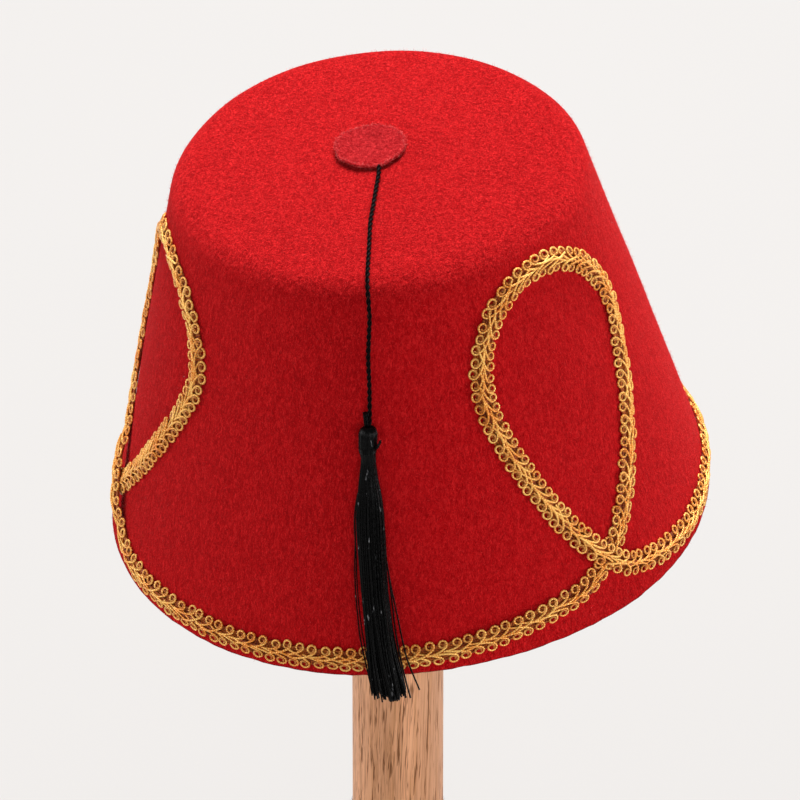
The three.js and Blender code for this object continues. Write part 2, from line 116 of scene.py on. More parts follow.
def crown_profile(run):
    """Radius, height and outward tilt of the felt, at a distance from the middle of the top"""
    run = np.asarray(run, float)
    on_top = run / TOP_DOME_RADIUS
    on_edge = TOP_LENGTH / TOP_DOME_RADIUS + (run - TOP_LENGTH) / EDGE_ROUNDING
    down = run - WALL_START
    radius = np.where(
        run <= TOP_LENGTH,
        TOP_DOME_RADIUS * np.sin(on_top),
        np.where(
            run <= WALL_START,
            EDGE_RADIUS + EDGE_ROUNDING * np.sin(on_edge),
            EDGE_RADIUS + EDGE_ROUNDING * math.cos(WALL_LEAN) + down * math.sin(WALL_LEAN),
        ),
    )
    height = np.where(
        run <= TOP_LENGTH,
        CROWN_HEIGHT - TOP_DOME_RADIUS + TOP_DOME_RADIUS * np.cos(on_top),
        np.where(
            run <= WALL_START,
            EDGE_HEIGHT + EDGE_ROUNDING * np.cos(on_edge),
            WALL_TOP - down * math.cos(WALL_LEAN),
        ),
    )
    tilt = np.where(run <= TOP_LENGTH, on_top, np.where(run <= WALL_START, on_edge, math.pi / 2 - WALL_LEAN))
    return radius, height, tilt


def run_at_height(height):
    return WALL_START + (WALL_TOP - np.asarray(height, float)) / math.cos(WALL_LEAN)


def on_hat(points):
    """From the hat's own frame to its place on the stand"""
    points = np.asarray(points, float)
    return np.stack(
        [
            points[..., 0] * math.cos(TILT) - points[..., 2] * math.sin(TILT) + HEM_CENTRE["x"],
            points[..., 1],
            points[..., 0] * math.sin(TILT) + points[..., 2] * math.cos(TILT) + HEM_CENTRE["z"],
        ],
        -1,
    )


def eased(value, low, high):
    """From 0 to 1 between two values, slow at both ends"""
    share = np.clip((value - low) / (high - low), 0, 1)
    return share**2 * (3 - 2 * share)


def hem_wave(wave, azimuth, height):
    """How far the soft hem strays from a flat circle, less and less up the wall"""
    fade = np.clip(1 - np.clip(height, 0, None) / HEM_FADE, 0, None) ** 2
    return fade * wave["size"] * np.cos(wave["waves"] * (azimuth - wave["azimuth"]))


def side_press(azimuth, radius, height):
    """How far the left side is pressed in"""
    facing_left = np.clip(-np.sin(azimuth), 0, None) ** 2
    rise = eased(height, SIDE_PRESS["low"], SIDE_PRESS["high"])
    return SIDE_PRESS["size"] * rise * facing_left * np.clip(radius / SIDE_PRESS["radius"], 0, 1) ** 2


def on_crown(azimuth, run, lift):
    """Points over the crown, lifted square off its outside"""
    radius, height, tilt = crown_profile(run)
    swell = hem_wave(HEM_SWELL, azimuth, height)
    drop = hem_wave(HEM_DROP, azimuth, height)
    out = radius + lift * np.sin(tilt) + swell - side_press(azimuth, radius, height)
    return on_hat(
        np.stack([out * np.sin(azimuth), -out * np.cos(azimuth), height + lift * np.cos(tilt) - drop], -1)
    )


def on_front(side, run, lift):
    """The same, placed by the distance to the side of the front line"""
    return on_crown(np.arctan2(side, crown_profile(run)[0]), run, lift)


def new_piece(name, points, faces, finish):
    """A smooth mesh piece from points in millimetres"""
    mesh = bpy.data.meshes.new(name)
    mesh.from_pydata((np.asarray(points) * MM).tolist(), [], faces)
    mesh.materials.append(finish)
    mesh.shade_smooth()
    return in_scene(name, mesh)


def turned_faces(rings, sides, poles):
    """Faces over rings of points laid one after the other, closed to a pole after them at each end"""
    faces = []
    for i in range(rings - 1):
        for j in range(sides):
            k = (j + 1) % sides
            faces.append((i * sides + j, (i + 1) * sides + j, (i + 1) * sides + k, i * sides + k))
    if poles:
        first, last = rings * sides, rings * sides + 1
        for j in range(sides):
            k = (j + 1) % sides
            faces.append((first, j, k))
            faces.append((last, (rings - 1) * sides + k, (rings - 1) * sides + j))
    return faces


class Wire:
    """A socket of a node tree. Sums on it add Math nodes."""

    def __init__(self, tree, socket=None):
        self.tree = tree
        self.socket = socket

    def node(self, kind, settings=None, inputs=None, output=0):
        made = self.tree.nodes.new(kind)
        for name, setting in (settings or {}).items():
            if name == "stops":
                ramp = made.color_ramp
                for place, colour in setting[len(ramp.elements):]:
                    ramp.elements.new(place)
                for stop, (place, colour) in zip(ramp.elements, setting):
                    stop.position = place
                    stop.color = colour
            else:
                setattr(made, name, setting)
        for name, given in (inputs or {}).items():
            if isinstance(given, Wire):
                self.tree.links.new(given.socket, made.inputs[name])
            else:
                made.inputs[name].default_value = given
        return Wire(self.tree, made.outputs[output])

    def sum(self, operation, first, second):
        return self.node("ShaderNodeMath", {"operation": operation}, {0: first, 1: second})

    def __add__(self, other):
        return self.sum("ADD", self, other)

    def __radd__(self, other):
        return self.sum("ADD", other, self)

    def __sub__(self, other):
        return self.sum("SUBTRACT", self, other)

    def __rsub__(self, other):
        return self.sum("SUBTRACT", other, self)

    def __mul__(self, other):
        return self.sum("MULTIPLY", self, other)

    def __rmul__(self, other):
        return self.sum("MULTIPLY", other, self)

    def noise(self, place, scale, detail, roughness=0.5, distortion=0.0):
        return self.node(
            "ShaderNodeTexNoise",
            None,
            {"Vector": place, "Scale": scale, "Detail": detail, "Roughness": roughness,
             "Distortion": distortion},
        )

    def sine(self):
        return self.node("ShaderNodeMath", {"operation": "SINE"}, {0: self})

    def attribute(self, label):
        return self.node("ShaderNodeAttribute", {"attribute_name": label}, output="Fac")

    def moved(self, place, shift=(0, 0, 0), turn=(0, 0, 0), scale=(1, 1, 1)):
        return self.node(
            "ShaderNodeMapping", None, {"Vector": place, "Location": shift, "Rotation": turn, "Scale": scale}
        )

    def stretched(self, place, scale):
        return self.moved(place, scale=scale)

    def blend(self, share, first, second):
        return self.node("ShaderNodeMix", {"data_type": "RGBA"}, {0: share, 6: first, 7: second}, 2)

    def stepped(self, value, low, high, start=0.0, end=1.0):
        return self.node(
            "ShaderNodeMapRange",
            {"interpolation_type": "SMOOTHSTEP"},
            {"Value": value, "From Min": low, "From Max": high, "To Min": start, "To Max": end},
        )

    def bump(self, height, strength, distance):
        return self.node(
            "ShaderNodeBump", None, {"Height": height, "Strength": strength, "Distance": distance}
        )


def new_finish(name):
    """A material, its shader, and a loose end of wire to build from, with the place on the piece"""
    finish = bpy.data.materials.new(name)
    finish.use_nodes = True
    shader = finish.node_tree.nodes["Principled BSDF"]
    start = Wire(finish.node_tree)
    return finish, shader, start, start.node("ShaderNodeTexCoord", output="Object")


def connect(start, shader, **sockets):
    """Links wires to the shader's sockets, and sets plain values on the others"""
    for name, given in sockets.items():
        socket = shader.inputs[name.replace("_", " ")]
        if isinstance(given, Wire):
            start.tree.links.new(given.socket, socket)
        else:
            socket.default_value = given


def felt_finish(name, dark, middle, light, grain):
    """Wool felt: fine matted fibres in lighter and darker tones, with painted highlight and shade: their
    contrast is painted stronger on faces that look upwards, where the overhead light falls
    """
    finish, shader, start, place = new_finish(name)
    along = start.stretched(place, (1, 1, 0.34))
    fibres = start.noise(along, 2100 * grain, 3, 0.62, 1.6)
    tufts = start.noise(along, 900 * grain, 2, 0.55, 1.0)
    clouds = start.noise(place, 70, 3, 0.5)
    facing = start.node("ShaderNodeNewGeometry", output="Normal")
    upwards = start.node("ShaderNodeSeparateXYZ", None, {0: facing}, "Z")
    # Painted highlight and shade: the fibres' tones spread wider on faces that look upwards, where the
    # overhead light falls, and narrower on the walls
    loose = start.stepped(upwards, 0.35, 0.95, 0.66, 1.18)
    matted = start.stepped(fibres, 0.34, 0.66) * 0.6 + start.stepped(tufts, 0.3, 0.7) * 0.34 + clouds * 0.06
    raised = (matted - 0.5) * loose
    colour = start.node(
        "ShaderNodeValToRGB", {"stops": [(0.14, dark), (0.5, middle), (0.86, light)]}, {"Fac": raised + 0.5}
    )
    # The hem's cut edge is blended to that dark red as painted shade
    connect(
        start,
        shader,
        Base_Color=start.blend(start.attribute("cut_edge"), colour, FELT_CUT_SHADE),
        Roughness=start.stepped(fibres, 0.3, 0.7, 1.0, 0.9),
        Normal=start.bump(raised, 0.9, 0.00042),
        Sheen_Weight=0.12,
        Sheen_Roughness=0.4,
        Sheen_Tint=(1, 0.16, 0.15, 1),
        Specular_IOR_Level=0.04,
    )
    return finish


red_felt = felt_finish("red_felt", FELT_DARK, FELT_RED, FELT_LIGHT, 1)


def crown_rows():
    """Where each ring of the felt's skin lies: its run, its lift and how far the cut edge strays there"""
    top = np.linspace(3, TOP_LENGTH, 26)
    edge = np.linspace(TOP_LENGTH, WALL_START, 14)[1:]
    wall = np.linspace(WALL_START, HEM_RUN - 0.5, 74)[1:]
    outside = [(run, 0, 0) for run in np.concatenate([top, edge, wall])]
    cut = [(HEM_RUN - 0.15, -0.05, 1), (HEM_RUN, -0.3, 1), (HEM_RUN, -1.0, 1), (HEM_RUN, -1.7, 1)]
    cut += [(HEM_RUN - 0.15, -1.95, 1), (HEM_RUN - 0.5, -FELT, 0)]
    inside = np.concatenate([wall[:-1:2], edge, top])
    return outside + cut + [(run, -FELT, 0) for run in sorted(inside, reverse=True)]


def felt_unevenness(azimuth, run):
    """How far the blocked felt rises and falls, in millimetres"""
    steady = np.clip(run / 40, 0, 1)
    return steady * (
        0.10 * np.sin(3 * azimuth + run / 19 + 1)
        + 0.07 * np.sin(7 * azimuth - run / 11)
        + 0.04 * np.sin(13 * azimuth + run / 6 + 2)
    )


azimuths = np.linspace(0, 2 * math.pi, CROWN_SIDES, endpoint=False)
rng = np.random.default_rng(11)
cut_waver = sum(
    0.05 * np.sin(waves * azimuths + start)
    for waves, start in zip((17, 29, 43, 61, 97), rng.uniform(0, 6, 5))
) + rng.uniform(-0.05, 0.05, CROWN_SIDES)
crown_points = []
for run, lift, strays in crown_rows():
    crown_points.append(on_crown(azimuths, run + strays * cut_waver, lift + felt_unevenness(azimuths, run)))
crown_points = np.concatenate(crown_points + [on_hat([[0, 0, CROWN_HEIGHT], [0, 0, CROWN_HEIGHT - FELT]])])
crown = new_piece(
    "felt_crown", crown_points, turned_faces(len(crown_rows()), CROWN_SIDES, True), red_felt
)
# A mask over the cut rows, for the painted shade on the hem's cut edge
cut_rows = [1.0 if strays else 0.0 for _, _, strays in crown_rows()]
cut_edge = crown.data.attributes.new("cut_edge", "FLOAT", "POINT")
cut_edge.data.foreach_set("value", np.append(np.repeat(cut_rows, CROWN_SIDES), [0.0, 0.0]))
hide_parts("crown")
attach(crown, "root")

# Nap
# Short loose wool fibres that stand off the felt at every angle, some paler than the rest. They blur the
# hat's edges a little.

NAP_DENSITY = 420000
NAP_LENGTH = 1 * MM
NAP_THICKNESS = 0.04 * MM


def new_tree(name, *inputs):
    """A geometry tree with named inputs, its loose end of wire, and the wires of those inputs"""
    tree = bpy.data.node_groups.new(name, "GeometryNodeTree")
    tree.interface.new_socket("Geometry", in_out="OUTPUT", socket_type="NodeSocketGeometry")
    for label, kind in (("Geometry", "Geometry"), *inputs):
        tree.interface.new_socket(label, in_out="INPUT", socket_type="NodeSocket" + kind)
    group = tree.nodes.new("NodeGroupInput")
    return Wire(tree), {socket.name: Wire(tree, socket) for socket in group.outputs if socket.name}


def end_tree(start, geometry, finish):
    """Makes the tree's result real geometry in one material"""
    real = start.node("GeometryNodeRealizeInstances", None, {"Geometry": geometry})
    smooth = start.node("GeometryNodeSetShadeSmooth", None, {"Geometry": real})
    dressed = start.node("GeometryNodeSetMaterial", None, {"Geometry": smooth, "Material": finish})
    end = start.tree.nodes.new("NodeGroupOutput")
    start.tree.links.new(dressed.socket, end.inputs["Geometry"])
    return start.tree


def make_with(tree, source, name, **sizes):
    """Runs a tree on a source object, which goes, and keeps the result as a plain mesh piece"""
    modifier = source.modifiers.new("making", "NODES")
    modifier.node_group = tree
    sockets = {item.name: item.identifier for item in tree.interface.items_tree if item.in_out == "INPUT"}
    for label, value in sizes.items():
        modifier[sockets[label]] = value
    bpy.context.view_layer.update()
    evaluated = source.evaluated_get(bpy.context.evaluated_depsgraph_get())
    mesh = bpy.data.meshes.new_from_object(evaluated)
    source.modifiers.remove(modifier)
    bpy.data.objects.remove(source)
    mesh.name = name
    return in_scene(name, mesh)


def random_vector(start, low, high, seed):
    return start.node(
        "FunctionNodeRandomValue", {"data_type": "FLOAT_VECTOR"}, {0: low, 1: high, "Seed": seed}
    )


def strewn(start, points, instance, rotation, lean, size):
    """Copies on points, each turned and then leaned over"""
    lean = start.node("FunctionNodeEulerToRotation", None, {"Euler": lean})
    rotation = start.node(
        "FunctionNodeRotateRotation", {"rotation_space": "LOCAL"}, {"Rotation": rotation, "Rotate By": lean}
    )
    return start.node(
        "GeometryNodeInstanceOnPoints",
        None,
        {"Points": points, "Instance": instance, "Rotation": rotation, "Scale": size},
    )


def nap_tree():
    """Tapered fibres all over a surface, each at its own angle"""
    start, given = new_tree(
        "nap", ("Density", "Float"), ("Length", "Float"), ("Thickness", "Float"), ("Seed", "Int"),
        ("Finish", "Material"),
    )
    spread = start.node(
        "GeometryNodeDistributePointsOnFaces",
        None,
        {"Mesh": given["Geometry"], "Density": given["Density"], "Seed": given["Seed"]},
    )
    turned = Wire(start.tree, spread.socket.node.outputs["Rotation"])
    fibre = start.node(
        "GeometryNodeMeshCone",
        {"fill_type": "NGON"},
        {"Vertices": 3, "Side Segments": 1, "Radius Top": 0.0, "Radius Bottom": given["Thickness"],
         "Depth": given["Length"]},
    )
    lean = random_vector(start, (-1.35, -1.35, 0), (1.35, 1.35, 6.28), given["Seed"])
    size = random_vector(start, (0.8, 0.8, 0.5), (1.2, 1.2, 1.6), given["Seed"])
    return end_tree(start, strewn(start, spread, fibre, turned, lean, size), given["Finish"])


def wool_finish(name, deep, pale):
    """Single wool fibres, some paler than others"""
    finish, shader, start, place = new_finish(name)
    connect(
        start,
        shader,
        Base_Color=start.blend(start.stepped(start.noise(place, 900, 2), 0.35, 0.65), deep, pale),
        Roughness=start.stepped(start.noise(place, 2400, 2), 0.3, 0.7, 0.7, 0.95),
        Normal=start.bump(start.noise(place, 5200, 2), 0.3, 0.00004),
        Specular_IOR_Level=0.1,
    )
    return finish


loose_wool = wool_finish("loose_wool", (0.45, 0.005, 0.008, 1), (0.78, 0.05, 0.05, 1))
outside_rows = cut_rows.index(1.0)
nap_ground = new_piece(
    "nap_ground",
    crown_points[: CROWN_SIDES * outside_rows],
    turned_faces(outside_rows, CROWN_SIDES, False),
    red_felt,
)
nap = make_with(
    nap_tree(), nap_ground, "felt_nap",
    Density=NAP_DENSITY, Length=NAP_LENGTH, Thickness=NAP_THICKNESS, Seed=5, Finish=loose_wool,
)
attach(nap, "root")

# Button
# A disc of thinner pressed felt, cut out by hand and sewn down in the middle over the cord's start. Its
# rim lifts off the crown.

BUTTON_MIDDLE = np.array((-1.25, 2.6))
BUTTON_RADIUS = 11.15
BUTTON_FELT = 1.05
BUTTON_SEAT = 0.3
SEWN_DOWN = 0.18
pressed_felt = felt_finish(
    "pressed_felt", (0.22, 0.003, 0.005, 1), (0.39, 0.0085, 0.012, 1), (0.56, 0.026, 0.03, 1), 0.8
)

disc_sides = 120
turns = np.linspace(0, 2 * math.pi, disc_sides, endpoint=False)
rng = np.random.default_rng(3)
cut = BUTTON_RADIUS + 0.14 * np.sin(3 * turns + 0.6) + 0.12 * np.sin(5 * turns + 2) + 0.1 * np.sin(9 * turns)
cut += rng.uniform(-0.07, 0.07, disc_sides)
rim_lift = 0.55 + 0.25 * np.sin(2 * turns + 1) + 0.15 * np.sin(5 * turns)
disc_rows = [(share, 1.0) for share in np.linspace(0.06, 0.97, 22)] + [(0.992, 0.93), (1.0, 0.7), (1.0, 0.3)]
disc_rows += [(0.992, 0.07), (0.97, 0.0)] + [(share, 0.0) for share in np.linspace(0.9, 0.06, 10)]
disc_points = []
for share, level in disc_rows:
    x = BUTTON_MIDDLE[0] + share * cut * np.cos(turns)
    y = BUTTON_MIDDLE[1] + share * cut * np.sin(turns)
    wave = 0.12 * share * np.sin(4 * turns + 3 * share) - SEWN_DOWN * math.exp(-((share / 0.35) ** 2))
    lift = BUTTON_SEAT + share**3 * rim_lift + level * BUTTON_FELT + wave
    disc_points.append(on_crown(np.arctan2(x, -y), np.hypot(x, y), lift))
for level in (1.0, 0.0):
    lift = BUTTON_SEAT - SEWN_DOWN + level * BUTTON_FELT
    facing = np.array([math.atan2(BUTTON_MIDDLE[0], -BUTTON_MIDDLE[1])])
    disc_points.append(on_crown(facing, np.hypot(*BUTTON_MIDDLE), lift))
button = new_piece(
    "felt_button", np.concatenate(disc_points), turned_faces(len(disc_rows), disc_sides, True), pressed_felt
)
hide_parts("crown_button")

rim_rows = [i for i, (share, level) in enumerate(disc_rows) if share > 0.9 and level > 0]
rim_ground = new_piece(
    "rim_ground",
    np.concatenate([disc_points[i] for i in rim_rows]),
    turned_faces(len(rim_rows), disc_sides, False),
    pressed_felt,
)
pale_wool = wool_finish("pale_wool", (0.58, 0.045, 0.05, 1), (0.86, 0.20, 0.19, 1))
button_fuzz = make_with(
    nap_tree(), rim_ground, "button_fuzz",
    Density=5500000, Length=0.8 * MM, Thickness=NAP_THICKNESS, Seed=8, Finish=pale_wool,
)
for piece in (button, button_fuzz):
    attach(piece, "root")

# Tassel cord
# Two plies of black rayon twisted into a thin cord. It comes from under the button, lies over the top
# and down the front of the crown, and ends in the tassel's head.

CORD_POINTS = 560
PLY_RADIUS = 0.41
PLY_OFFSET = 0.35
TWIST_LENGTH = 4.6
CORD_ROUTE = [
    (1.7, 8.3, 1.05), (1.5, 12.4, 1.05), (0.75, 19, 1.05), (-0.1, 27, 1.05), (-0.95, 34, 1.05),
    (-1.35, 41, 1.05), (-1.6, 48, 1.05), (-1.9, 54, 1.05), (-2.2, 60, 1.05), (-2.35, 64, 1.05),
    (-2.35, 68, 1.05), (-2.5, 73, 1.05), (-3.25, 79.5, 1.05), (-4, 86, 1.05), (-4.3, 93, 1.1),
    (-4.65, 99, 1.4), (-4.95, 104, 2.4), (-5.2, 107.6, 3.2),
]


def smooth_line(rows, steps):
    """A smooth line through the rows of a table"""
    rows = np.array(rows, float)
    rows = np.vstack([2 * rows[0] - rows[1], rows, 2 * rows[-1] - rows[-2]])
    share = np.linspace(0, 1, steps, endpoint=False)[:, None]
    line = []
    for a, b, c, d in zip(rows, rows[1:], rows[2:], rows[3:]):
        line.append(
            0.5 * (2 * b + (c - a) * share + (2 * a - 5 * b + 4 * c - d) * share**2
                   + (3 * b - a - 3 * c + d) * share**3)
        )
    return np.vstack(line + [rows[-2:-1]])


def lengths_along(line):
    return np.concatenate([[0], np.cumsum(np.linalg.norm(np.diff(line, axis=0), axis=1))])


def spread_evenly(line, count):
    """The same line with evenly spaced points"""
    along = lengths_along(line)
    places = np.linspace(0, along[-1], count)
    return np.stack([np.interp(places, along, line[:, k]) for k in range(line.shape[1])], -1)


def unit(vectors):
    return vectors / np.linalg.norm(vectors, axis=-1, keepdims=True)


def thread_tree():
    """Round threads along the lines of a mesh, thicker and thinner as its girth says"""
    start, given = new_tree("thread", ("Radius", "Float"), ("Sides", "Int"), ("Finish", "Material"))
    lines = start.node("GeometryNodeMeshToCurve", None, {"Mesh": given["Geometry"]})
    length = start.node("GeometryNodeSplineParameter", output="Length")
    marked = start.node(
        "GeometryNodeStoreNamedAttribute",
        {"data_type": "FLOAT", "domain": "POINT"},
        {"Geometry": lines, "Name": "along", "Value": length},
    )
    girth = start.node("GeometryNodeInputNamedAttribute", {"data_type": "FLOAT"}, {"Name": "girth"})
    section = start.node(
        "GeometryNodeCurvePrimitiveCircle", {"mode": "RADIUS"}, {"Resolution": given["Sides"], "Radius": 1.0}
    )
    spun = start.node(
        "GeometryNodeCurveToMesh",
        None,
        {"Curve": marked, "Profile Curve": section, "Scale": girth * given["Radius"], "Fill Caps": True},
    )
    return end_tree(start, spun, given["Finish"])


THREAD = thread_tree()


def spin(name, lines, radius, sides, finish, girths=None, closed=False):
    """Threads of round section along lines of points, all in millimetres, as one piece"""
    points = np.concatenate(lines) * MM
    edges = []
    first = 0
    for line in lines:
        edges += [(first + i, first + i + 1) for i in range(len(line) - 1)]
        if closed:
            edges.append((first + len(line) - 1, first))
        first += len(line)
    mesh = bpy.data.meshes.new(name)
    mesh.from_pydata(points.tolist(), edges, [])
    girth = mesh.attributes.new("girth", "FLOAT", "POINT")
    values = np.ones(len(points)) if girths is None else np.concatenate(girths)
    girth.data.foreach_set("value", values.astype(np.float32))
    return make_with(THREAD, in_scene(name, mesh), name, Radius=radius * MM, Sides=sides, Finish=finish)


def thread_finish(name, dark, light, shine, twist, gloss):
    """Rayon thread: near black, glossy along its filaments, with fine twist ridges and sparse streaks of
    painted glint in a lighter colour
    """
    finish, shader, start, place = new_finish(name)
    along = start.attribute("along")
    # Painted highlight: sparse streaks along the threads take the lighter colour, as glints
    painted_glints = start.noise(start.stretched(place, (1, 1, 0.13)), 800, 3, 0.6)
    filaments = start.noise(start.stretched(place, (1, 1, 0.04)), 4200, 2, 0.5)
    ridges = (along * twist).sine()
    connect(
        start,
        shader,
        Base_Color=start.blend(start.stepped(painted_glints, 0.665, 0.72), dark, light),
        Roughness=start.stepped(filaments, 0.3, 0.7, shine, shine + 0.22),
        Normal=start.bump(ridges * 0.35 + filaments, 0.4, 0.00006),
        Specular_IOR_Level=gloss,
    )
    return finish


# The cord's lighter brown is its painted glint
black_cord = thread_finish("black_cord", (0.003, 0.0012, 0.0014, 1), (0.1, 0.022, 0.018, 1), 0.3, 5200, 0.04)
cord_line = smooth_line(CORD_ROUTE, 12)
cord_middle = spread_evenly(on_front(*cord_line.T), CORD_POINTS)
cord_over = spread_evenly(on_front(*(cord_line + [0, 0, 1]).T), CORD_POINTS)
cord_run = lengths_along(cord_middle)
ahead = unit(np.gradient(cord_middle, axis=0))
outward = cord_over - cord_middle
outward = unit(outward - ahead * np.sum(outward * ahead, axis=1, keepdims=True))
across = np.cross(ahead, outward)
turn = 2 * math.pi * cord_run / TWIST_LENGTH
plies = []
for phase in (0, math.pi):
    offset = np.cos(turn + phase)[:, None] * outward + np.sin(turn + phase)[:, None] * across
    plies.append(cord_middle + PLY_OFFSET * offset)
cord = spin("tassel_cord_plies", plies, PLY_RADIUS, 8, black_cord)

# Tassel
# Black rayon threads folded over the cord's end, bound at the neck and cut off below the hem. A few
# stray from the rest, and the ends of the fold and of the binding stick out at the head.

TASSEL_TOP_RUN = 107.9
TASSEL_ROWS = np.array([
    (0, -5.5, 3.3, 1.4, 1.4), (0.8, -5.7, 3.3, 2.2, 2.2), (2.5, -5.9, 3.3, 2.7, 2.7),
    (6.5, -6.25, 3.3, 2.65, 2.7), (8.2, -6.45, 3.3, 2.3, 2.4), (11, -6.5, 3.2, 2.05, 2.05),
    (17.7, -6.95, 3.4, 2.9, 2.4), (24.3, -7.1, 3.7, 3.9, 2.8), (31, -7.5, 4, 4.5, 3.1),
    (42, -7.9, 4.4, 4.4, 3.3), (56, -8.1, 5, 4.3, 3.5), (69.5, -7.75, 5.7, 4.4, 3.7),
    (76.3, -7.45, 6.1, 4.7, 3.8), (83, -6.9, 6.4, 5.2, 3.8), (91, -6.2, 6.6, 5.5, 3.8),
    (94, -5.9, 6.7, 5.7, 3.9),
])
GOLDEN_TURN = 2.39996
SKIRT_THREADS = 165
SKIRT_START = 8.5
SKIRT_END = 89.4
THREAD_RADIUS = 0.28
HEAD_THREADS = 64
HEAD_THREAD_RADIUS = 0.24
CLUMPS = 11
BINDING_TURNS = 5
BINDING_ENDS = 5
FOLD_ENDS = 16


def in_tassel(down, across, outwards):
    """Points in the tassel: across it and outwards, as shares of its half sizes at a distance down it"""
    side, lift, half_width, half_depth = (
        np.interp(down, TASSEL_ROWS[:, 0], TASSEL_ROWS[:, k]) for k in range(1, 5)
    )
    return on_front(side + across * half_width, TASSEL_TOP_RUN + down, lift + outwards * half_depth)


# The tassel's pale grey is its painted glint
black_thread = thread_finish(
    "black_thread", (0.0006, 0.0007, 0.0007, 1), (0.2, 0.2, 0.21, 1), 0.15, 3000, 0.1
)
rng = np.random.default_rng(21)
skirt = []
for i in range(SKIRT_THREADS):
    around = i * GOLDEN_TURN
    spot = 0.93 * ((i + 0.5) / SKIRT_THREADS) ** 0.42
    clump = around % (2 * math.pi) * CLUMPS / (2 * math.pi)
    slant = 2.0 * math.sin(7 * int(clump) + 1) - 1.7 * spot * math.cos(around)
    end = SKIRT_END + slant + rng.uniform(-1.4, 1.4)
    share = np.linspace(0, 1, 30)
    down = SKIRT_START + share * (end - SKIRT_START)
    pull = (0.05 * share + 0.06 * share**4) * math.sin(2 * math.pi * clump)
    wander = 0.05 * np.sin(share * rng.uniform(4, 11) + rng.uniform(0, 6)) * share
    angle = around + pull + wander
    spread = 0.10 * math.sin(5 * int(clump)) * share**3
    reach = spot * (1 + spread + 0.05 * np.sin(share * rng.uniform(3, 8) + rng.uniform(0, 6)) * share)
    skirt.append(in_tassel(down, reach * np.cos(angle), reach * np.sin(angle)))
strays = [
    [(17, -8.9, 2.6), (26, -11.6, 2.4), (33, -12.7, 2.3), (40.3, -13.1, 2.3), (47, -13.8, 2.6),
     (55, -14.2, 3.1), (62, -14.2, 3.6), (70, -14.0, 4.2), (75, -13.5, 4.6), (80, -12.8, 5.0),
     (86, -12.0, 5.4)],
    [(20, -9.6, 2.7), (30, -12.2, 2.7), (42, -12.9, 3.0), (55, -13.5, 3.5), (68, -13.2, 4.2),
     (79, -12.2, 5.0), (86.5, -11.2, 5.4)],
    [(24, -4.0, 2.8), (36, -3.7, 2.7), (45.1, -3.9, 3.0), (54.6, -3.2, 3.4), (63.7, -2.2, 3.8),
     (74.9, -1.0, 4.4), (80.6, 0.05, 5.0), (89.4, 2.5, 5.6)],
    [(50, -3.5, 4.4), (60, -3.2, 4.8), (70, -2.9, 5.3), (80, -2.0, 5.8), (88, -0.9, 6.2), (91.5, -0.3, 6.3)],
]
for stray in strays:
    line = smooth_line(stray, 8)
    skirt.append(on_front(line[:, 1], TASSEL_TOP_RUN + line[:, 0], line[:, 2]))
tassel_skirt = spin("tassel_skirt", skirt, THREAD_RADIUS, 4, black_thread)

head = []
for i in range(HEAD_THREADS):
    around = 2 * math.pi * i / HEAD_THREADS + rng.uniform(-0.03, 0.03)
    down = np.concatenate([[0.05, 0.15, 0.45, 1], np.linspace(1.8, 12, 14)])
    full = np.interp(down, [0, 0.15, 0.45, 1, 2, 12], [0.25, 0.6, 0.85, 0.95, 0.97, 0.97])
    full = full * (1 + 0.03 * math.sin(5 * i))
    head.append(in_tassel(down, full * np.cos(around), full * np.sin(around)))
bound = np.linspace(0, 2 * math.pi * BINDING_TURNS, 150)
head.append(in_tassel(6.9 + 1.9 * bound / bound[-1], 1.07 * np.cos(bound), 1.07 * np.sin(bound)))
for i in range(FOLD_ENDS):
    around = 2.4 * i
    off = 0.95 * math.sqrt((i + 0.5) / FOLD_ENDS)
    level = np.linspace(2.2, -4.4 + rng.uniform(-0.25, 0.25), 8)
    side = -6.05 + np.interp(level, [-4.5, 2], [0.0, 0.1]) + off * math.cos(around)
    head.append(on_front(side, TASSEL_TOP_RUN + level, 2.75 + off * math.sin(around)))
for i in range(BINDING_ENDS):
    off = 0.32 * i
    stub = np.array([(7.4, -5.2, 5.0), (6.6, -3.6, 5.1), (5.6, -2.9, 4.9), (4.5, -2.25, 4.6)])
    line = smooth_line(stub + [0.25 * math.cos(2.4 * i), 0.2 * math.sin(2.4 * i), -0.3 + off * 0.5], 4)
    head.append(on_front(line[:, 1], TASSEL_TOP_RUN + line[:, 0], line[:, 2]))
tassel_head = spin("tassel_head", head, HEAD_THREAD_RADIUS, 5, black_thread)

for piece in (tassel_skirt, tassel_head):
    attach(piece, "root")
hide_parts("tassel")
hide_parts("tassel_cord")
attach(cord, "root")

# Braid
# One length of gold scroll gimp: threads of metal foil plaited into a stem, each leaving it in turn to
# the left and right and curling into a small ring. It is sewn round the hem and up three loops.

